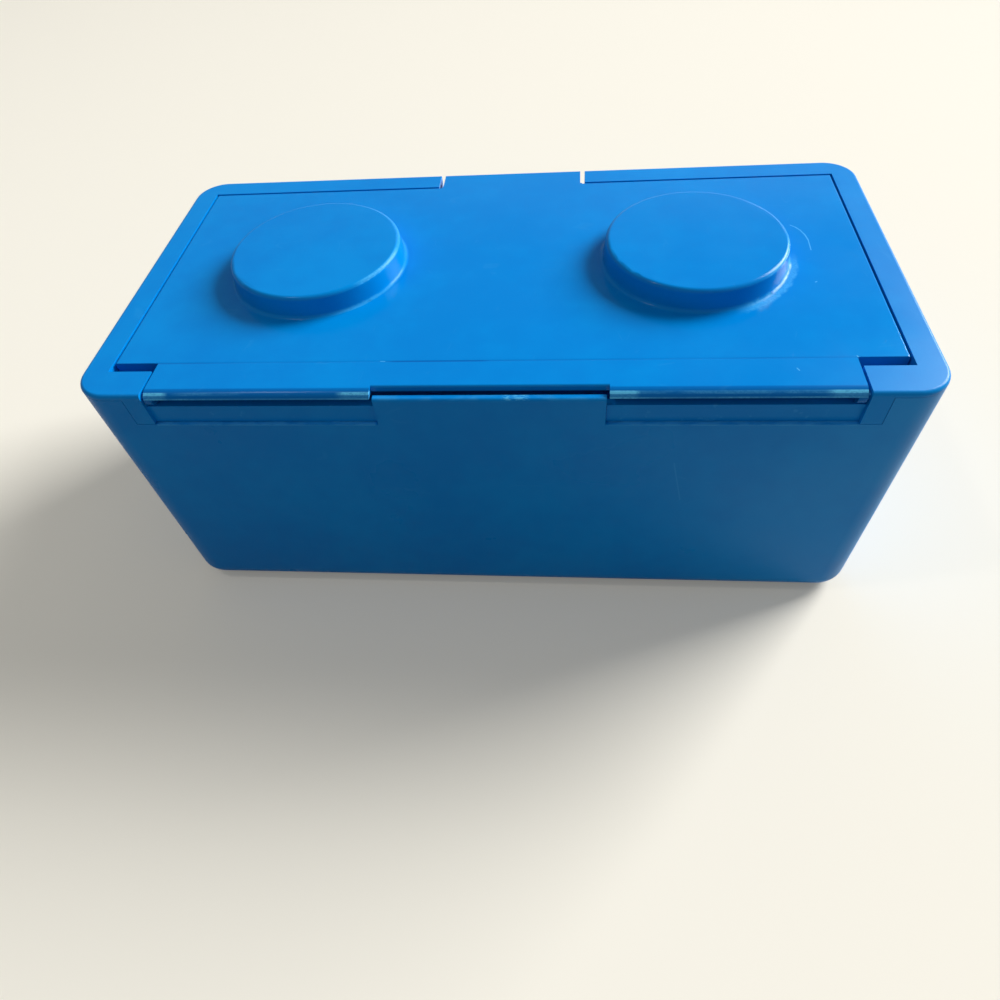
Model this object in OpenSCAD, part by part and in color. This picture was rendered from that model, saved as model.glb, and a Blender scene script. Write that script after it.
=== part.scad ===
// Brick-shaped storage box: a deep tub, a rim frame snapped into its mouth and a hinged lid with
// two studs. X runs along the length, +Y is the front (finger tab), -Y the hinge side, Z is up and
// the origin lies in the middle of the flat underside. All sizes are in millimetres.

/* [Box] */
// Length of the box
length = 220; // [190:1:260]
// Width of the box, front to back
width = 109.4; // [100:0.2:130]
// Height from the underside to the flat top of the closed lid
height = 88; // [70:1:120]
// Radius of the upright corners, seen from above
corner_r = 9.4; // [8:0.1:12]
// Radius where the walls turn into the underside
base_r = 7; // [5:0.5:7.5]
// Thickness of the tub's walls
wall_t = 1.7; // [1.5:0.1:2]
// Thickness of the tub's floor
floor_t = 2; // [1.5:0.1:3]

/* [Studs and stacking sockets] */
// Radius of a stud at its top
stud_r = 25.2; // [20:0.1:28]
// How much wider a stud's side is at its foot
stud_taper = 0.4; // [0.2:0.1:1]
// Height of a stud above the lid
stud_h = 6.4; // [4:0.1:9]
// Radius of the edge round a stud's top
stud_edge_r = 1.3; // [0.5:0.1:2]
// Radius of the fillet round a stud's foot
stud_fillet_r = 1.2; // [1:0.1:3]
// Free space round and above a stud in the socket of the box stacked on it
socket_gap = 0.5; // [0.3:0.1:1]

/* [Rim frame] */
// Thickness of the frame's top plate
cap_t = 1.5; // [1.3:0.1:1.8]
// Radius of the top outer edge
cap_edge_r = 1.1; // [0.6:0.1:1.2]
// Width of the rim at the two ends
rim_end_w = 7.4; // [7:0.1:12]
// Width of the rim along the front
rim_front_w = 8.1; // [7:0.1:12]
// Thickness of the frame's hanging walls and of its ledge
frame_t = 1.5; // [1.2:0.1:1.7]
// Depth of the ledge that the lid's skirt rests on, below the top
ledge_drop = 7; // [6.5:0.1:9]
// How far the ledge reaches in under the lid's skirt
ledge_in = 3.6; // [3:0.1:6]
// Depth of the frame's outer wall, below the top
frame_depth = 13.5; // [13:0.5:16]
// Free space between the frame and the tub
frame_gap = 0.15; // [0.1:0.05:0.3]
// Height of the snap bead that holds the frame in the tub
snap_h = 0.5; // [0.3:0.1:0.6]
// Width of the snap bead
snap_w = 1.2; // [0.8:0.1:1.5]

/* [Lid] */
// Thickness of the lid
lid_t = 1.7; // [1.5:0.1:1.8]
// Gap between the lid and the rim
lid_gap = 0.5; // [0.4:0.1:1]
// Radius of the lid's top edges
lid_edge_r = 0.6; // [0.3:0.1:1]
// Width of the shallow crease between the lid's panel and its back flange
crease_w = 1.2; // [0.8:0.1:2]
// Depth of the crease
crease_d = 0.05; // [0.03:0.01:0.2]
// Thickness of the skirt under the lid's edge
skirt_t = 1.4; // [1.2:0.1:2]
// Air left between the lid's skirt and the ledge
seat_gap = 0.25; // [0.2:0.05:0.4]
// Width of the finger tab at the front
tab_w = 45.8; // [30:0.2:60]
// Width of the slit at each side of the finger tab
tab_slit = 1.5; // [1:0.1:3]
// Depth of the finger gap's floor, below the top
finger_drop = 6.2; // [6:0.1:6.4]
// Height of the friction beads on the front of the skirt
bead_h = 0.3; // [0.2:0.05:0.5]
// Length of each friction bead
bead_l = 18; // [8:1:30]
// Distance of the friction beads from the slits beside the finger tab
bead_off = 8; // [4:1:20]

/* [Hinge] */
// Distance of the hinge axis from the back of the box
axis_in = 2; // [2:0.1:2.2]
// Depth of the hinge axis below the top
axis_drop = 2.5; // [2.4:0.1:2.7]
// Radius of the lid's hinge pins
pin_r = 1.2; // [1:0.1:1.2]
// Free space round a hinge pin
pin_clear = 0.05; // [0.03:0.01:0.1]
// Length of a hinge pin
pin_l = 4.4; // [3.5:0.1:4.6]
// Radius of the lid's ears that carry the hinge pins
ear_r = 1.8; // [1.7:0.1:2]
// Thickness of an ear
ear_t = 2; // [1.5:0.1:3]
// Width of the corner post's prong that holds the pin
prong_w = 5.1; // [5:0.1:7]
// Length of the corner posts, along the box, from the end of the box
post_l = 19.6; // [18:0.1:24]
// Depth of the corner posts, from the back of the box
post_d = 9.6; // [8:0.1:12]
// Width of the slot in front of a post, behind the lid's panel
slot_w = 3.2; // [2:0.1:5]
// Gap between the ends of the lid's lobes and the posts
lobe_gap = 0.7; // [0.5:0.1:1]
// Radius of the lobes' rolled back edge
lobe_r = 3; // [2.5:0.1:3.2]
// Width of the wall tab in the middle of the back
back_tab_w = 58.4; // [40:0.2:70]
// Drop of the tub's top edge below the lid's top
wall_drop = 1.6; // [1.6:0.05:1.9]
// Drop of the frame's back wall below the lid's top, under the lobes
back_drop = 4.6; // [4.6:0.1:6]
// Depth of the two cut-outs in the tub's back wall
pocket_drop = 10.3; // [9:0.1:11]
// How far the frame's back wall lies in from the back of the box, in the cut-outs
pocket_in = 1.1; // [0.8:0.1:1.7]
// Radius of the outer edge of the wall tab's top
tab_edge_r = 0.85; // [0.5:0.05:1]
// Distance from the back of the box to the lid's edge at the wall tab
lid_back_in = 3.3; // [3.25:0.05:3.8]

/* [Hidden] */
$fn = 96;
eps = 0.01;
blue = [0.01, 0.40, 0.78];

// Planes of the box
back_y = -width / 2;
front_y = width / 2;
end_x = length / 2;
wall_top = height - wall_drop;
cap_under = height - cap_t;
lid_under = height - lid_t;

// Opening of the frame, and the posts at its back corners
open_x = end_x - rim_end_w;
open_front = front_y - rim_front_w;
post_x = end_x - post_l;
post_y = back_y + post_d;
prong_x = post_x + prong_w;
ledge_top = height - ledge_drop;
skirt_under = ledge_top + seat_gap;
finger_x = tab_w / 2 + tab_slit;

// Outline of the lid
panel_x = open_x - lid_gap;
panel_front = open_front - lid_gap;
panel_back = post_y + slot_w;
lobe_x = post_x - lobe_gap;
back_tab_x = back_tab_w / 2;
lobe_in_x = back_tab_x + lobe_gap;
lid_back = back_y + lid_back_in;
bead_z = (skirt_under + lid_under) / 2;
crease_r = (crease_w * crease_w / 4 + crease_d * crease_d) / (2 * crease_d);

// Mouth inside the ledge
mouth_x = open_x - ledge_in;
mouth_front = open_front - ledge_in;
mouth_back = panel_back + ledge_in - lid_gap;

// Hinge axis
axis_y = back_y + axis_in;
axis_z = height - axis_drop;
bore_r = pin_r + pin_clear;
bore_end_x = lobe_x + pin_l + lobe_gap / 2;

// Frame walls inside the tub
frame_l = length - 2 * (wall_t + frame_gap);
frame_w = width - 2 * (wall_t + frame_gap);
frame_r = corner_r - wall_t - frame_gap;
frame_under = height - frame_depth;
snap_z = height - (pocket_drop + frame_depth) / 2;
snap_end = corner_r + 10;

// Studs sit in the middle of the panel, half the box's length apart
stud_x = length / 4;
stud_y = (panel_front + panel_back) / 2;
stud_foot_r = stud_r + stud_taper;
socket_r = stud_foot_r + stud_fillet_r + socket_gap;
socket_h = stud_h + socket_gap;
boss_r = socket_r + wall_t;
boss_top = socket_h + floor_t;

// Rectangle from its edges, as a flat shape
module area(x0, x1, y0, y1) {
  translate([x0, y0]) square([x1 - x0, y1 - y0]);
}

// Upright block from its edges
module block(x0, x1, y0, y1, z0, z1) {
  translate([x0, y0, z0]) cube([x1 - x0, y1 - y0, z1 - z0]);
}

// The same shape at both ends of the box
module both_ends() {
  children();
  mirror([1, 0, 0]) children();
}

// Rectangle with rounded corners, as a flat shape
module round_area(l, w, r) {
  square([l, w - 2 * r], center = true);
  square([l - 2 * r, w], center = true);
  for (sx = [-1, 1], sy = [-1, 1])
    translate([sx * (l / 2 - r), sy * (w / 2 - r)]) circle(r = r);
}

// Upright section standing on y = 0, with its two lower corners rounded
module soft_section(w, h, r) {
  area(-w / 2, w / 2, r, h);
  intersection() {
    area(-w / 2, w / 2, 0, h);
    union() {
      area(r - w / 2, w / 2 - r, 0, r + eps);
      for (s = [-1, 1])
        translate([s * (w / 2 - r), r]) circle(r = r);
    }
  }
}

// Box with upright corners of radius plan_r and lower edges of radius edge_r
module soft_box(l, w, h, plan_r, edge_r) {
  rotate([90, 0, 90]) linear_extrude(height = l - 2 * plan_r, center = true)
    soft_section(w, h, edge_r);
  rotate([90, 0, 0]) linear_extrude(height = w - 2 * plan_r, center = true)
    soft_section(l, h, edge_r);
  for (sx = [-1, 1], sy = [-1, 1])
    translate([sx * (l / 2 - plan_r), sy * (w / 2 - plan_r), 0])
      rotate_extrude() intersection() {
        soft_section(2 * plan_r, h, edge_r);
        area(0, plan_r, 0, h);
      }
}

// What is cut away to round an edge that runs along X through the origin, with the material
// behind it (-Y) and below it (-Z)
module edge_cut(l, r) {
  rotate([90, 0, 90]) linear_extrude(height = l, center = true) difference() {
    area(-r, 1, -r, 1);
    translate([-r, -r]) circle(r = r);
  }
}

// Snap bead round the frame, or its groove in the tub when grown by extra
module snap_ring(extra) {
  for (s = [-1, 1]) {
    y = s * frame_w / 2;
    l = frame_l - 2 * snap_end;
    translate([0, y, snap_z])
      cube([l + 2 * extra, 2 * (snap_h + extra), snap_w + 2 * extra], center = true);
    translate([s * frame_l / 2, 0, snap_z])
      cube([2 * (snap_h + extra), frame_w - 2 * snap_end + 2 * extra, snap_w + 2 * extra],
        center = true);
  }
}

// Deep tub: four walls, a floor with two round sockets below it, and cut-outs in its top edge
module tub() {
  color(blue) difference() {
    union() {
      difference() {
        soft_box(length, width, wall_top, corner_r, base_r);
        translate([0, 0, floor_t])
          soft_box(length - 2 * wall_t, width - 2 * wall_t, height, corner_r - wall_t,
            base_r - wall_t);
      }
      both_ends() translate([stud_x, stud_y, 0]) cylinder(r = boss_r, h = boss_top);
    }
    both_ends() {
      translate([stud_x, stud_y, -1]) cylinder(r = socket_r, h = socket_h + 1);
      block(back_tab_x, prong_x + frame_gap, back_y - 1, back_y + wall_t + 1,
        height - pocket_drop, height);
    }
    block(-finger_x, finger_x, front_y - wall_t - 1, front_y + 1, height - finger_drop, height);
    snap_ring(frame_gap);
    translate([0, back_y, wall_top]) rotate([0, 0, 180])
      edge_cut(back_tab_w, tab_edge_r);
  }
}

// Corner post: a block inside the tub, with a prong that fills the end of the tub's cut-out and a
// pad that fills the rest of it under the lid's lobe
module post() {
  translate([0, 0, ledge_top - frame_t])
    linear_extrude(height = cap_under - ledge_top + frame_t + eps) intersection() {
      area(post_x, open_x + frame_t, back_y, post_y);
      round_area(frame_l, frame_w, frame_r);
    }
  block(post_x, prong_x, back_y, back_y + wall_t + frame_t, height - pocket_drop + frame_gap,
    cap_under + eps);
  block(back_tab_x + frame_gap, post_x + eps, back_y + pocket_in, back_y + wall_t + frame_t,
    height - pocket_drop + frame_gap, height - back_drop);
}

// Rim frame: the flat rim, the walls below it, the ledge for the lid and the hinge posts
module rim_frame() {
  color(blue) difference() {
    union() {
      translate([0, 0, height]) mirror([0, 0, 1])
        soft_box(length, width, cap_t, corner_r, cap_edge_r);
      translate([0, 0, frame_under]) linear_extrude(height = cap_under - frame_under + eps)
        difference() {
          round_area(frame_l, frame_w, frame_r);
          round_area(frame_l - 2 * frame_t, frame_w - 2 * frame_t, frame_r - frame_t);
        }
      translate([0, 0, ledge_top - frame_t])
        linear_extrude(height = cap_under - ledge_top + frame_t + eps)
          area(-open_x - frame_t, open_x + frame_t, post_y, open_front + frame_t);
      block(-post_x, post_x, back_y + wall_t + frame_gap + eps, post_y + eps,
        ledge_top - frame_t, ledge_top);
      both_ends() post();
      snap_ring(0);
    }
    // Room for the lid, from the front rim to the posts and between the posts
    block(-open_x, open_x, post_y, open_front, ledge_top, height + 1);
    block(-post_x, post_x, back_y + wall_t + frame_gap + frame_t, post_y + 1, ledge_top,
      height + 1);
    block(-post_x, post_x, back_y - 1, post_y + 1, height - back_drop, height + 1);
    // Mouth of the box
    block(-mouth_x, mouth_x, mouth_back, mouth_front, 0, height);
    // Finger gap
    block(-finger_x, finger_x, open_front - 1, front_y + 1, height - finger_drop, height + 1);
    // Bores of the hinge
    both_ends() translate([post_x - 1, axis_y, axis_z]) rotate([0, 90, 0])
      cylinder(r = bore_r, h = bore_end_x - post_x + 1);
  }
}

// Half section of a stud, standing on the lid's top
module stud_section() {
  difference() {
    polygon([[0, -lid_t / 2], [stud_foot_r, -lid_t / 2], [stud_foot_r, stud_fillet_r],
      [stud_r, stud_h - stud_edge_r], [stud_r, stud_h], [0, stud_h]]);
    difference() {
      area(stud_r - stud_edge_r, stud_r + 1, stud_h - stud_edge_r, stud_h + 1);
      translate([stud_r - stud_edge_r, stud_h - stud_edge_r]) circle(r = stud_edge_r);
    }
  }
  difference() {
    area(stud_foot_r - stud_taper, stud_foot_r + stud_fillet_r, -eps, stud_fillet_r);
    translate([stud_foot_r + stud_fillet_r, stud_fillet_r]) circle(r = stud_fillet_r);
  }
}

// Flat outline of the lid: panel, finger tab and the back flange with its two lobes
module lid_outline() {
  area(-panel_x, panel_x, panel_back, panel_front);
  area(-tab_w / 2, tab_w / 2, panel_front - 1, front_y);
  area(-lobe_x, lobe_x, lid_back, panel_back + 1);
  for (s = [-1, 1])
    translate([s * (lobe_in_x + lobe_x) / 2, 0])
      area((lobe_in_x - lobe_x) / 2, (lobe_x - lobe_in_x) / 2, back_y, lid_back + 1);
}

// Ear and hinge pin at the outer end of a lobe
module hinge_pin() {
  translate([lobe_x - ear_t, axis_y, axis_z]) rotate([0, 90, 0])
    cylinder(r = ear_r, h = ear_t);
  translate([lobe_x - ear_t, axis_y, axis_z]) rotate([0, 90, 0])
    cylinder(r = pin_r, h = ear_t + pin_l);
}

// Lid: a thin panel with a skirt, two hollow studs, a finger tab and hinge pins on its lobes
module lid() {
  color(blue) difference() {
    union() {
      difference() {
        translate([0, 0, lid_under]) linear_extrude(height = lid_t) lid_outline();
        both_ends() translate([panel_x, (panel_front + panel_back) / 2, height])
          rotate([0, 0, -90]) edge_cut(panel_front - panel_back + 2, lid_edge_r);
        both_ends() translate([(panel_x + tab_w / 2) / 2 + lid_edge_r, panel_front, height])
          edge_cut(panel_x - tab_w / 2, lid_edge_r);
        translate([0, front_y, height]) edge_cut(tab_w + 1, cap_edge_r);
        translate([0, back_y, height]) rotate([0, 0, 180]) edge_cut(2 * lobe_x + 1, lobe_r);
        translate([0, lid_back, height]) rotate([0, 0, 180])
          edge_cut(2 * lobe_in_x, lid_edge_r);
        translate([-lobe_x - 1, panel_back, height - crease_d + crease_r]) rotate([0, 90, 0])
          cylinder(r = crease_r, h = 2 * lobe_x + 2);
      }
      translate([0, 0, skirt_under]) linear_extrude(height = lid_under - skirt_under + eps)
        difference() {
          area(-panel_x, panel_x, panel_back, panel_front);
          area(skirt_t - panel_x, panel_x - skirt_t, panel_back + skirt_t,
            panel_front - skirt_t);
        }
      both_ends() {
        translate([stud_x, stud_y, height]) rotate_extrude() stud_section();
        hinge_pin();
        translate([finger_x + bead_off, panel_front, bead_z]) rotate([0, 90, 0])
          cylinder(r = bead_h, h = bead_l);
      }
    }
    both_ends() translate([stud_x, stud_y, lid_under - 1])
      cylinder(r1 = stud_foot_r - lid_t, r2 = stud_r - lid_t, h = stud_h + 1);
  }
}

tub();
rim_frame();
lid();
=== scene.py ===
"""Looks of a brick-shaped storage box in blue moulded plastic, seen from above its hinge side."""

import math

import bpy
from mathutils import Matrix, Vector


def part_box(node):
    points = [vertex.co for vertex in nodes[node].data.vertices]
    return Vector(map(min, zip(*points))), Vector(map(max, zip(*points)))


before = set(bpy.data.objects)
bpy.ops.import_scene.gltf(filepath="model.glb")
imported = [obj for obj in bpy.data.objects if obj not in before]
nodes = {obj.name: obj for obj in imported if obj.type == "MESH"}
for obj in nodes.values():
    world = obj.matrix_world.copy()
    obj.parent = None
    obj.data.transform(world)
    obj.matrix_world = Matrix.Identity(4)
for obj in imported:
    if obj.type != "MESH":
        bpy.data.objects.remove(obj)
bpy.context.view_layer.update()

MM_PER_M = 1000.0

# ---------------------------------------------------------------- camera, in metres
CAMERA_AT = Vector((0.02036, -0.17922, 0.20504))
CAMERA_AIM = Vector((0.00558, -0.08728, 0.088))
CAMERA_ROLL = math.radians(-6.563)
CAMERA_LENS = 25.0758
SENSOR = 36.0
NEAREST_SEEN = 0.01

# ---------------------------------------------------------------- stage, in metres
FLOOR_SIZE = 6.0
FLOOR_DROP = 0.0002
WALL_AT = 1.7
WALL_H = 1.04
STAGE_ROUGHNESS = 0.9
STAGE_SPECULAR = 0.1

# Colour of the floor as the camera sees it: the first one under the window and the second one
# away from it, between these two distances from the window's foot
FLOOR_UNDER_WINDOW = (0.34, 0.33, 0.30)
FLOOR_AWAY = (0.90, 0.87, 0.78)
FLOOR_EVENED = (0.9, 2.0)

# Colours of floor and wall for the light that they throw back, and what is added for the camera,
# so that no part of them looks dark
FLOOR_LIT = (0.35, 0.34, 0.32)
FLOOR_PALE = (0.13, 0.125, 0.11)
WALL_LIT = (0.60, 0.60, 0.59)
WALL_PALE = (0.32, 0.31, 0.29)

# Strength of the world as a light, and as the camera sees it
WORLD_LIGHT = 0.23
WORLD_SEEN = 0.75
WHITE = (1.0, 1.0, 1.0)

# Each lamp: place, size in metres, power in watts and colour
WINDOW = ((1.37, 0.89, 0.98), (0.9, 1.0), 64.0, (1.0, 0.99, 0.97))
FILL = ((0.45, -0.95, 0.75), (1.2, 1.2), 0.8, WHITE)
SMALL_LAMP = ((-0.42, -0.14, 0.92), (0.05, 0.05), 0.6, WHITE)
LAMPS_AIM = (0.0, 0.0, 0.06)

# ---------------------------------------------------------------- edges of the solids, in metres
WELD_GAP = 0.000002
SOFT_EDGE = 0.0002
SOFT_STEPS = 2
SHARP_FROM = math.radians(40)
NORMAL_WEIGHT = 60

# ---------------------------------------------------------------- plastic, colours as linear RGB
BLUE = (0.0, 0.25, 0.70)
BLUE_DEEP = (0.0, 0.215, 0.65)
# White of worn plastic, also used for the painted highlights and the painted reflection
WEAR_AND_PAINTED_LIGHT_WHITE = (0.12, 0.60, 0.97)
# Darker blue for painted shade, along the groove where the back flange starts and on the roll of
# the lobes' back edge
PAINTED_SHADE_BLUE = (0.0, 0.085, 0.36)
PLASTIC_IOR = 1.5
PLASTIC_SPECULAR = 0.11

# Roughness of each piece where it is clean, how far it goes below and above that, and what full
# whitening, from wear and from painted highlights alike, adds to it
LID_ROUGHNESS = 0.17
RIM_ROUGHNESS = 0.34
TUB_ROUGHNESS = 0.30
SMOOTHER = 0.04
ROUGHER = 0.06
WEAR_AND_PAINTED_LIGHT_ROUGHER = 0.3

# Heights of the relief, in millimetres
GRAIN_H = 0.0035
WAVES_H = 0.10
SCRATCH_H = -0.006

# ---------------------------------------------------------------- noises and patches
# Each noise: size of a blotch in millimetres, detail, stretch along X, Y and Z, and shift
EVEN = (1.0, 1.0, 1.0)
LONG = (3.0, 1.0, 1.0)
CLOUDS = (60.0, 3.0, EVEN, 0.0)
MOTTLE = (7.0, 3.0, EVEN, 5.0)
GRAIN = (0.35, 2.0, EVEN, 4.0)
WAVES = (22.0, 1.0, EVEN, 7.0)
SHEEN = (24.0, 4.0, EVEN, 2.0)
FOOT_RAGGED = (2.2, 3.0, EVEN, 41.0)
HAIRS = ((16.0, 1.0, (4.0, 1.0, 1.0), 3.0), (11.0, 1.0, (1.0, 3.0, 2.0), 17.0))

# Each mask of patches: its noise, and the ramp's start and end on it. Where the mask doesn't go
# from 0 to 1, its lowest and highest value follow.
SPECKS = ((0.55, 3.0, EVEN, 9.0), (0.76, 0.82))
LOBE_GRAIN = ((0.45, 3.0, (1.6, 1.0, 1.0), 21.0), (0.36, 0.58))
LOBE_PATCHES = ((4.0, 3.0, (2.5, 1.0, 1.0), 12.0), (0.40, 0.65))
STUD_GRAIN = ((0.6, 2.0, EVEN, 27.0), (0.25, 0.65, 0.5, 1.0))
# Patches in the painted shade along the groove where the back flange starts
GROOVE_SHADE_PATCHES = ((30.0, 2.0, (2.0, 1.0, 1.0), 8.0), (0.35, 0.7, 0.15, 0.45))
RIM_SCUFFS = ((2.5, 3.0, EVEN, 14.0), (0.64, 0.74, 0.0, 0.12))
TAB_SCUFFS = ((2.0, 3.0, LONG, 6.0), (0.45, 0.65, 0.0, 0.12))
TAB_STREAKS = ((0.35, 3.0, LONG, 15.0), (0.45, 0.6, 0.0, 0.6))
# Patches in the painted highlight along the sills' top edge
SILL_HIGHLIGHT_PATCHES = ((1.5, 3.0, LONG, 24.0), (0.35, 0.65, 0.08, 0.28))
# Patches in the painted reflection on the tub's back wall
REFLECTION_CLOUDS = ((35.0, 3.0, EVEN, 3.0), (0.25, 0.7, 0.06, 0.13))

# Ramps on the tone of the blue and on the sheen
TONE_LEVELS = (0.35, 0.65)
SHEEN_LEVELS = (0.3, 0.7)

# Hairlines: the level of their noise that they follow, the ramp on the distance from it, and the
# size, shift and ramp of the finer noise that breaks them up
HAIR_LEVEL = 0.5
HAIR_NEAR = (0.003, 0.006, 1.0, 0.0)
HAIR_FINER = 0.45
HAIR_SHIFT = 31.0
HAIR_LEFT = (0.60, 0.68)

# ---------------------------------------------------------------- places, in millimetres
RIM_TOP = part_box("rim_frame")[1].z * MM_PER_M
SILL = RIM_TOP - 10.3
STUD_X = 55.0
STUD_Y = 2.1
STUD_R = 25.2
STUD_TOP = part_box("lid")[1].z * MM_PER_M

# Where a ramp starts and ends
ROLL_BACK = (-52.3, -52.6)
ROLL_UNDER = (RIM_TOP - 1.75, RIM_TOP - 1.65)
ROLL_MIDDLE = (RIM_TOP - 0.5, RIM_TOP - 0.8)
ROLL_LOWER = (RIM_TOP - 1.3, RIM_TOP - 1.45)
ROLL_SHADED = (-51.6, -52.2)
LID_FLAT = (RIM_TOP - 0.6, RIM_TOP - 0.4)
STUD_FOOT = (RIM_TOP + 1.6, RIM_TOP + 0.9)
STUD_REACH = (STUD_R + 2.0, STUD_R + 1.0)
RIM_OUTER = (RIM_TOP - 0.6, RIM_TOP - 1.1)
TAB_TOP = (RIM_TOP - 2.3, RIM_TOP - 1.8)
# Where the painted highlight along the sills' edge starts, towards the back
SILL_BACK = (-53.2, -53.5)
# Where the painted reflection on the back wall starts, and where it is full
REFLECTION_X = (35.0, 109.0)

# Where a band starts, where it ends and how softly. TURNS are in degrees round a stud, from +X.
# Upper worn line of the lobes, which also carries a painted highlight
ROLL_UPPER = (RIM_TOP - 0.75, RIM_TOP - 0.4, 0.12)
STUD_ROUNDING = (STUD_TOP - 0.75, STUD_TOP - 0.15, 0.15)
FOOT_TURNS = (-58.0, -12.0, 16.0)
# Where round each stud the painted highlight on its top edge is strongest, and where it is faint
EDGE_TURNS = (-38.0, -12.0, 16.0)
EDGE_FAINT_TURNS = (0.0, 70.0, 20.0)
# Painted shade along the groove where the back flange starts: its band in Y, and the stretch in X
# where it is darkest
GROOVE_SHADE_Y = (-42.2, -41.8, 0.2)
GROOVE_SHADE_X = (-24.0, -3.0, 6.0)
TAB_X = (-29.5, 29.5, 0.5)
TAB_STREAKS_X = (5.0, 9.0, 2.0)
# Band of the painted highlight along the sills' edge, in height and along X
SILL_Z = (SILL - 0.3, SILL + 0.1, 0.1)
SILL_X = (30.2, 89.8, 0.4)

# Whitened stretches of the lobes' back edge: a band along X, and how white
LOBE_ENDS = (
    ((-90.0, -85.0, 2.2), 1.0),
    ((-36.0, -29.0, 3.0), 0.8),
    ((29.0, 35.5, 2.0), 1.0),
    ((83.5, 90.0, 4.0), 1.0),
)

# Scuffed foot of each stud with a painted highlight along its fillet; the left stud's thin line is
# only painted highlight: the stud's place, inner and outer edge, fade, and how white
STUD_FEET = (
    (STUD_X, 26.4, 27.8, 1.1, 0.32),
    (-STUD_X, 25.9, 26.2, 0.3, 0.22),
)

# Marks: start, end and width. Those on the lid are seen from above, as X and Y, and the one on
# the back wall from behind, as X and Z.
ARC = (
    ((84.5, 17.3), (85.8, 16.1), 0.2),
    ((85.8, 16.1), (86.8, 14.5), 0.25),
    ((86.8, 14.5), (87.7, 12.0), 0.25),
    ((87.7, 12.0), (88.1, 9.2), 0.25),
    ((88.1, 9.2), (87.9, 4.1), 0.2),
)
NICKS = (
    ((86.05, -11.15), (86.4, -10.95), 0.22),
    ((74.8, -45.8), (75.2, -46.6), 0.18),
    ((-28.8, -41.85), (-27.6, -41.9), 0.14),
    ((89.7, -41.5), (90.1, -42.2), 0.2),
)
WALL_SCRATCH = ((48.0, 63.0), (51.5, 47.4), 0.25)

# ---------------------------------------------------------------- shares, from 0 to 1
CLOUD_SHARE = 0.7
MOTTLE_SHARE = 0.3
LOBE_GRAIN_SHARE = 0.4

# How white each kind of wear and each painted highlight gets, and how dark the painted shade along
# the groove and along the roll of the lobes gets. ENDS_UPPER is above 1, because the grain thins
# that line again.
HAIR_WHITE = 0.03
SPECK_WHITE = 0.08
ENDS_UPPER = 1.2
ENDS_MIDDLE = 0.30
ENDS_LOWER = 0.35
PATCHES_WHITE = 0.25
LOWER_WHITE = 0.25
ARC_WHITE = 0.4
NICKS_WHITE = 0.5
# Strength of the painted highlight on the studs' top edges, and of its faint part
EDGE_HIGHLIGHT = 0.45
EDGE_FAINT = 0.3
WALL_SCRATCH_WHITE = 0.15
# How dark the painted shade gets along the groove and along the roll of the lobes
GROOVE_SHADE = 0.7
ROLL_PAINTED_SHADE = 0.55


def wire(tree, socket, value):
    """Links a node's output to socket, or sets the socket to a number, vector or colour."""
    if isinstance(value, bpy.types.NodeSocket):
        tree.links.new(value, socket)
    elif isinstance(value, tuple) and len(socket.default_value) == len(value) + 1:
        socket.default_value = (*value, 1.0)
    else:
        socket.default_value = value


def new_node(tree, kind, **settings):
    """New node of a kind, with its settings."""
    made = tree.nodes.new(kind)
    for key, value in settings.items():
        setattr(made, key, value)
    return made


def mixed(tree, factor, a, b, kind="RGBA"):
    """Mix of a and b, as colours or as numbers."""
    made = new_node(tree, "ShaderNodeMix", data_type=kind)
    wire(tree, made.inputs["Factor"], factor)
    wire(tree, made.inputs["A"], a)
    wire(tree, made.inputs["B"], b)
    return made.outputs["Result"]


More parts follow.
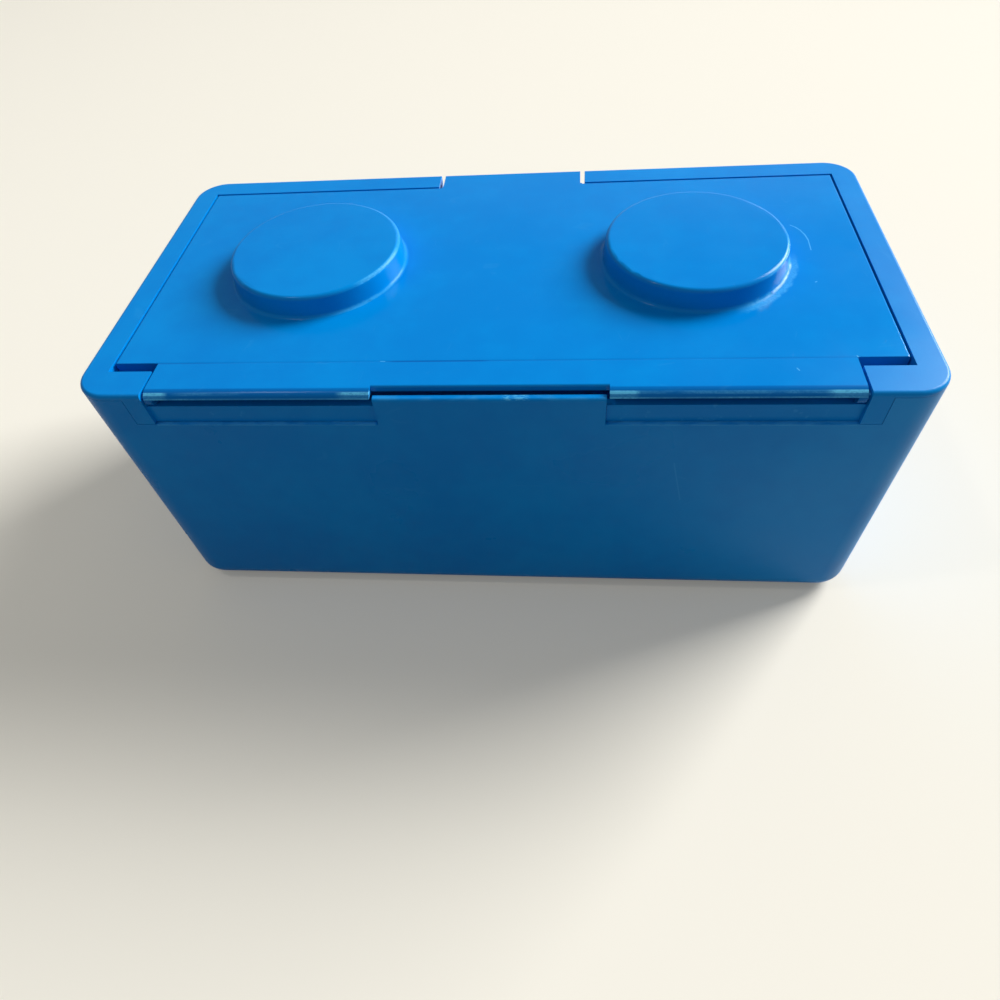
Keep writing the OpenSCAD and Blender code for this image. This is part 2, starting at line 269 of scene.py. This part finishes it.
class Finish:
    """A material's node tree, with one short call for each kind of node that the finishes use.
    Places and lengths are in millimetres in the object's own frame."""

    def __init__(self, name):
        self.material = bpy.data.materials.new(name)
        self.material.use_nodes = True
        self.tree = self.material.node_tree
        self.shader = self.tree.nodes["Principled BSDF"]
        metres = new_node(self.tree, "ShaderNodeTexCoord").outputs["Object"]
        self.place = self.vector("MULTIPLY", metres, (MM_PER_M, MM_PER_M, MM_PER_M))
        parts = new_node(self.tree, "ShaderNodeSeparateXYZ")
        wire(self.tree, parts.inputs[0], self.place)
        self.x, self.y, self.z = parts.outputs

    def vector(self, operation, a, b):
        made = new_node(self.tree, "ShaderNodeVectorMath", operation=operation)
        wire(self.tree, made.inputs[0], a)
        wire(self.tree, made.inputs[1], b)
        return made.outputs["Value" if operation in ("DOT_PRODUCT", "DISTANCE") else "Vector"]

    def math(self, operation, a, b=0.0):
        made = new_node(self.tree, "ShaderNodeMath", operation=operation)
        wire(self.tree, made.inputs[0], a)
        wire(self.tree, made.inputs[1], b)
        return made.outputs[0]

    def chain(self, operation, values):
        """The values joined one after another by an operation."""
        joined = values[0]
        for value in values[1:]:
            joined = self.math(operation, joined, value)
        return joined

    def times(self, *values):
        return self.chain("MULTIPLY", values)

    def plus(self, *values):
        return self.chain("ADD", values)

    def most(self, *masks):
        """Largest of the masks at each point."""
        return self.chain("MAXIMUM", masks)

    def ramp(self, value, start, end, low=0.0, high=1.0):
        """Smooth step from low at start to high at end."""
        made = new_node(self.tree, "ShaderNodeMapRange", interpolation_type="SMOOTHSTEP")
        for socket, number in zip(made.inputs, (value, start, end, low, high)):
            wire(self.tree, socket, number)
        return made.outputs[0]

    def band(self, value, low, high, soft):
        """1 between low and high, fading out over soft on both sides."""
        rise = self.ramp(value, low - soft, low)
        fall = self.ramp(value, high, high + soft, 1.0, 0.0)
        return self.times(rise, fall)

    def noise(self, size, detail, stretch, shift):
        """Noise from 0 to 1 whose blotches measure about size, longer where stretch is above 1."""
        scale = tuple(1.0 / (size * s) for s in stretch)
        at = self.vector("MULTIPLY", self.place, scale)
        made = new_node(self.tree, "ShaderNodeTexNoise")
        wire(self.tree, made.inputs["Vector"], self.vector("ADD", at, (shift, shift, shift)))
        wire(self.tree, made.inputs["Scale"], 1.0)
        wire(self.tree, made.inputs["Detail"], detail)
        return made.outputs["Fac"]

    def patches(self, noise, levels):
        """Mask made by a ramp on a noise."""
        return self.ramp(self.noise(*noise), *levels)

    def line(self, start, end, width, from_behind=False):
        """Thin straight mark from start to end, as seen from above or from behind."""
        flat = (1.0, 0.0, 1.0) if from_behind else (1.0, 1.0, 0.0)
        a, b = (Vector((p, 0.0, q) if from_behind else (p, q, 0.0)) for p, q in (start, end))
        run = b - a
        here = self.vector("SUBTRACT", self.vector("MULTIPLY", self.place, flat), tuple(a))
        share = self.vector("DOT_PRODUCT", here, tuple(run / run.length_squared))
        share = self.math("MINIMUM", self.math("MAXIMUM", share, 0.0), 1.0)
        along = new_node(self.tree, "ShaderNodeVectorMath", operation="SCALE")
        wire(self.tree, along.inputs[0], tuple(run))
        wire(self.tree, along.inputs["Scale"], share)
        off = self.vector("DISTANCE", here, along.outputs[0])
        return self.ramp(off, width / 2, width, 1.0, 0.0)

    def lines(self, marks):
        """Several marks on the lid."""
        return self.most(*(self.line(*mark) for mark in marks))

    def hairlines(self, size, detail, stretch, shift):
        """Sparse fine scratches: thin level lines of a stretched noise, broken up by another."""
        level = self.noise(size, detail, stretch, shift)
        near = self.math("ABSOLUTE", self.math("SUBTRACT", level, HAIR_LEVEL))
        finer = self.noise(size * HAIR_FINER, detail, EVEN, shift + HAIR_SHIFT)
        return self.times(self.ramp(near, *HAIR_NEAR), self.ramp(finer, *HAIR_LEFT))

    def relief(self, height):
        """Bump from a height in millimetres."""
        made = new_node(self.tree, "ShaderNodeBump")
        wire(self.tree, made.inputs["Strength"], 1.0)
        wire(self.tree, made.inputs["Distance"], 1.0 / MM_PER_M)
        wire(self.tree, made.inputs["Height"], height)
        wire(self.tree, self.shader.inputs["Normal"], made.outputs[0])


def moulded_plastic(name, roughness, wear_and_painted_light, painted_shade=None):
    """Blue moulded plastic. roughness is that of a clean spot. The third argument takes the finish
    and returns a mask of whitening, from wear and from painted highlights and reflection alike; the
    fourth, where given, returns a mask of painted shade."""
    f = Finish(name)
    tone = f.plus(f.times(f.noise(*CLOUDS), CLOUD_SHARE), f.times(f.noise(*MOTTLE), MOTTLE_SHARE))
    colour = mixed(f.tree, f.ramp(tone, *TONE_LEVELS), BLUE_DEEP, BLUE)
    if painted_shade:
        colour = mixed(f.tree, painted_shade(f), colour, PAINTED_SHADE_BLUE)
    hair = f.most(*(f.hairlines(*kind) for kind in HAIRS))
    specks = f.patches(*SPECKS)
    light = f.plus(f.times(hair, HAIR_WHITE), f.times(specks, SPECK_WHITE))
    # Whitening from wear together with the painted highlights and the painted reflection
    wear_and_painted_light_mask = f.math("MINIMUM", f.plus(wear_and_painted_light(f), light), 1.0)
    colour = mixed(f.tree, wear_and_painted_light_mask, colour, WEAR_AND_PAINTED_LIGHT_WHITE)
    wire(f.tree, f.shader.inputs["Base Color"], colour)
    sheen = f.ramp(f.noise(*SHEEN), *SHEEN_LEVELS, roughness - SMOOTHER, roughness + ROUGHER)
    rough = f.plus(sheen, f.times(wear_and_painted_light_mask, WEAR_AND_PAINTED_LIGHT_ROUGHER))
    wire(f.tree, f.shader.inputs["Roughness"], rough)
    f.shader.inputs["IOR"].default_value = PLASTIC_IOR
    f.shader.inputs["Specular IOR Level"].default_value = PLASTIC_SPECULAR
    grain = f.times(f.noise(*GRAIN), GRAIN_H)
    waves = f.times(f.noise(*WAVES), WAVES_H)
    cut = f.times(f.plus(hair, specks), SCRATCH_H)
    f.relief(f.plus(grain, waves, cut))
    return f.material


def round_stud(f, centre):
    """Distance from the middle of a stud and the angle round it, in degrees from +X."""
    from_x = f.math("SUBTRACT", f.x, centre)
    from_y = f.math("SUBTRACT", f.y, STUD_Y)
    away = f.math("SQRT", f.plus(f.math("POWER", from_x, 2.0), f.math("POWER", from_y, 2.0)))
    return away, f.math("DEGREES", f.math("ARCTAN2", from_y, from_x))


def stud_foot_scuff_and_highlight(f, centre, inner, outer, fade, white):
    """Band round a stud's foot on the side that faces the back right, with an uneven outline:
    scuffing and a painted highlight of the fillet together.
    """
    away, turn = round_stud(f, centre)
    ragged = f.plus(f.times(f.noise(*FOOT_RAGGED), 2.0 * fade), -fade)
    ring = f.band(f.plus(away, ragged), inner, outer, fade)
    return f.times(ring, f.band(turn, *FOOT_TURNS), white)


def stud_edge_highlight(f, centre):
    """Painted highlight on a stud's rounded top edge, strongest on the side that faces the back
    right.
    """
    away, turn = round_stud(f, centre)
    faint = f.times(f.band(turn, *EDGE_FAINT_TURNS), EDGE_FAINT)
    edge_marks = f.most(f.band(turn, *EDGE_TURNS), faint)
    return f.times(f.band(f.z, *STUD_ROUNDING), f.ramp(away, *STUD_REACH), edge_marks)


def lobe_wear_and_highlight(f):
    """Two worn lines along the rolled back edge of the lobes, whitest at the lobes' ends. The upper
    line is also a painted highlight.
    """
    ends = f.most(*(f.times(f.band(f.x, *stretch), white) for stretch, white in LOBE_ENDS))
    patches = f.times(f.patches(*LOBE_PATCHES), PATCHES_WHITE)
    upper = f.plus(f.times(ends, ENDS_UPPER), patches)
    lower = f.plus(f.times(ends, ENDS_LOWER), patches, LOWER_WHITE)
    worn = f.most(
        # Upper line: worn whitening and a painted highlight together
        f.times(f.band(f.z, *ROLL_UPPER), upper),
        f.times(f.ramp(f.z, *ROLL_MIDDLE), ends, ENDS_MIDDLE),
        f.times(f.ramp(f.z, *ROLL_LOWER), lower),
    )
    grain = f.plus(f.times(f.patches(*LOBE_GRAIN), LOBE_GRAIN_SHARE), 1.0 - LOBE_GRAIN_SHARE)
    return f.times(f.ramp(f.y, *ROLL_BACK), f.ramp(f.z, *ROLL_UNDER), worn, grain)


def lid_wear_and_highlights(f):
    """Worn lobes with a painted highlight on their upper line, an arc-shaped scratch, nicks,
    scuffed feet of the studs with a painted highlight, and painted highlights on the studs' top
    edges.
    """
    flat = f.ramp(f.z, *LID_FLAT)
    marks = f.most(f.times(f.lines(ARC), ARC_WHITE), f.times(f.lines(NICKS), NICKS_WHITE))
    fine = f.patches(*STUD_GRAIN)
    feet = f.most(*(stud_foot_scuff_and_highlight(f, *foot) for foot in STUD_FEET))
    edges = f.most(stud_edge_highlight(f, STUD_X), stud_edge_highlight(f, -STUD_X))
    return f.most(
        lobe_wear_and_highlight(f),
        f.times(marks, flat),
        f.times(feet, fine, f.ramp(f.z, *STUD_FOOT), flat),
        f.times(edges, fine, EDGE_HIGHLIGHT),
    )


def lid_painted_shade(f):
    """Painted shade: a dark line along the shallow groove where the back flange starts, and the
    roll of the lobes' edge painted darker.
    """
    dark = f.times(f.band(f.x, *GROOVE_SHADE_X), GROOVE_SHADE)
    groove_shade = f.times(f.band(f.y, *GROOVE_SHADE_Y), f.most(f.patches(*GROOVE_SHADE_PATCHES), dark))
    return f.most(groove_shade, f.times(f.ramp(f.y, *ROLL_SHADED), ROLL_PAINTED_SHADE))


def rim_wear(f):
    """Light scuffs along the rim's outer edge."""
    return f.times(f.ramp(f.z, *RIM_OUTER), f.patches(*RIM_SCUFFS))


def tub_wear_and_painted_light(f):
    """Rubbed top edge of the wall tab, a painted highlight along the sills beside it, a painted
    reflection that lightens the back wall towards the right, a scratch.
    """
    streaks = f.times(f.band(f.x, *TAB_STREAKS_X), f.patches(*TAB_STREAKS))
    edge_marks = f.most(f.patches(*TAB_SCUFFS), streaks)
    tab = f.times(f.ramp(f.z, *TAB_TOP), f.band(f.x, *TAB_X), edge_marks)
    out = f.math("ABSOLUTE", f.x)
    # Painted highlight along the sills' top edge, in uneven patches
    sill_highlight_band = f.times(f.band(f.z, *SILL_Z), f.band(out, *SILL_X), f.ramp(f.y, *SILL_BACK))
    sill_highlight = f.times(sill_highlight_band, f.patches(*SILL_HIGHLIGHT_PATCHES))
    # Painted reflection: the back wall gets lighter towards the right
    painted_reflection = f.times(f.ramp(f.x, *REFLECTION_X), f.patches(*REFLECTION_CLOUDS))
    scratch = f.times(f.line(*WALL_SCRATCH, from_behind=True), WALL_SCRATCH_WHITE)
    return f.most(tab, sill_highlight, painted_reflection, scratch)


def dress(node, material):
    """Gives a CAD node its finish, welds its facets and softens its sharp edges a little."""
    node.data.materials[0] = material
    weld = node.modifiers.new("weld", "WELD")
    weld.merge_threshold = WELD_GAP
    bevel = node.modifiers.new("soft_edges", "BEVEL")
    bevel.width = SOFT_EDGE
    bevel.segments = SOFT_STEPS
    bevel.limit_method = "ANGLE"
    bevel.angle_limit = SHARP_FROM
    bevel.use_clamp_overlap = True
    bevel.miter_outer = "MITER_ARC"
    smooth = node.modifiers.new("even_shading", "WEIGHTED_NORMAL")
    smooth.keep_sharp = False
    smooth.weight = NORMAL_WEIGHT


def area_lamp(name, lamp, mirrored=True):
    """Soft rectangular lamp. One that isn't mirrored makes no highlights."""
    at, size, power, colour = lamp
    data = bpy.data.lights.new(name, "AREA")
    data.shape = "RECTANGLE"
    data.size, data.size_y = size
    data.energy = power
    data.color = colour
    made = bpy.data.objects.new(name, data)
    made.location = at
    made.rotation_euler = (Vector(LAMPS_AIM) - Vector(at)).to_track_quat("-Z", "Y").to_euler()
    made.visible_camera = False
    made.visible_glossy = mirrored
    bpy.context.scene.collection.objects.link(made)


def evened_floor(tree):
    """Colour of the floor for the camera, darker under the window, so that it looks evenly pale."""
    place = new_node(tree, "ShaderNodeTexCoord")
    away = new_node(tree, "ShaderNodeVectorMath", operation="DISTANCE")
    wire(tree, away.inputs[0], place.outputs["Object"])
    wire(tree, away.inputs[1], (*WINDOW[0][:2], 0.0))
    share = new_node(tree, "ShaderNodeMapRange")
    wire(tree, share.inputs["Value"], away.outputs["Value"])
    wire(tree, share.inputs["From Min"], FLOOR_EVENED[0])
    wire(tree, share.inputs["From Max"], FLOOR_EVENED[1])
    return mixed(tree, share.outputs["Result"], FLOOR_UNDER_WINDOW, FLOOR_AWAY)


def stage_sheet(name, corners, lit, pale, seen=None):
    """Flat piece of the stage. lit is its colour for the light that it throws back, and pale is
    added for the camera. seen, where it is given, makes another colour for the camera and for
    reflections."""
    mesh = bpy.data.meshes.new(name)
    mesh.from_pydata(corners, [], [tuple(range(len(corners)))])
    made = bpy.data.objects.new(name, mesh)
    bpy.context.scene.collection.objects.link(made)
    material = bpy.data.materials.new(name)
    material.use_nodes = True
    tree = material.node_tree
    shader = tree.nodes["Principled BSDF"]
    shader.inputs["Roughness"].default_value = STAGE_ROUGHNESS
    shader.inputs["Specular IOR Level"].default_value = STAGE_SPECULAR
    path = new_node(tree, "ShaderNodeLightPath")
    colour = lit
    if seen:
        either = new_node(tree, "ShaderNodeMath", operation="MAXIMUM")
        wire(tree, either.inputs[0], path.outputs["Is Camera Ray"])
        wire(tree, either.inputs[1], path.outputs["Is Glossy Ray"])
        colour = mixed(tree, either.outputs[0], lit, seen(tree))
    wire(tree, shader.inputs["Base Color"], colour)
    wire(tree, shader.inputs["Emission Color"], pale)
    wire(tree, shader.inputs["Emission Strength"], path.outputs["Is Camera Ray"])
    mesh.materials.append(material)


def set_world():
    """Even pale world, paler for the camera than as a light."""
    world = bpy.data.worlds.new("room")
    world.use_nodes = True
    tree = world.node_tree
    path = new_node(tree, "ShaderNodeLightPath")
    level = mixed(tree, path.outputs["Is Camera Ray"], WORLD_LIGHT, WORLD_SEEN, "FLOAT")
    background = tree.nodes["Background"]
    wire(tree, background.inputs["Color"], WHITE)
    wire(tree, background.inputs["Strength"], level)
    bpy.context.scene.world = world


def set_stage():
    """Floor, far wall, world and lamps."""
    half = FLOOR_SIZE / 2
    floor = [(x * half, y * half, -FLOOR_DROP) for x, y in ((-1, -1), (1, -1), (1, 1), (-1, 1))]
    wall = [(x * half, WALL_AT, z) for x, z in ((-1, 0), (1, 0), (1, WALL_H), (-1, WALL_H))]
    stage_sheet("floor", floor, FLOOR_LIT, FLOOR_PALE, evened_floor)
    stage_sheet("far_wall", wall, WALL_LIT, WALL_PALE)
    set_world()
    area_lamp("window", WINDOW)
    area_lamp("small_lamp", SMALL_LAMP)
    area_lamp("fill", FILL, mirrored=False)


def set_camera():
    """Camera at the photograph's viewing angle, with its slight roll."""
    data = bpy.data.cameras.new("camera")
    data.lens = CAMERA_LENS
    data.sensor_width = SENSOR
    data.clip_start = NEAREST_SEEN
    camera = bpy.data.objects.new("camera", data)
    level = (CAMERA_AIM - CAMERA_AT).to_track_quat("-Z", "Y").to_matrix().to_4x4()
    roll = Matrix.Rotation(CAMERA_ROLL, 4, "Z")
    camera.matrix_world = Matrix.Translation(CAMERA_AT) @ level @ roll
    bpy.context.scene.collection.objects.link(camera)
    bpy.context.scene.camera = camera


set_camera()
set_stage()
dress(nodes["lid"], moulded_plastic("lid_plastic", LID_ROUGHNESS, lid_wear_and_highlights, lid_painted_shade))
dress(nodes["rim_frame"], moulded_plastic("rim_plastic", RIM_ROUGHNESS, rim_wear))
dress(nodes["tub"], moulded_plastic("tub_plastic", TUB_ROUGHNESS, tub_wear_and_painted_light))
bpy.context.scene.view_settings.view_transform = "Standard"
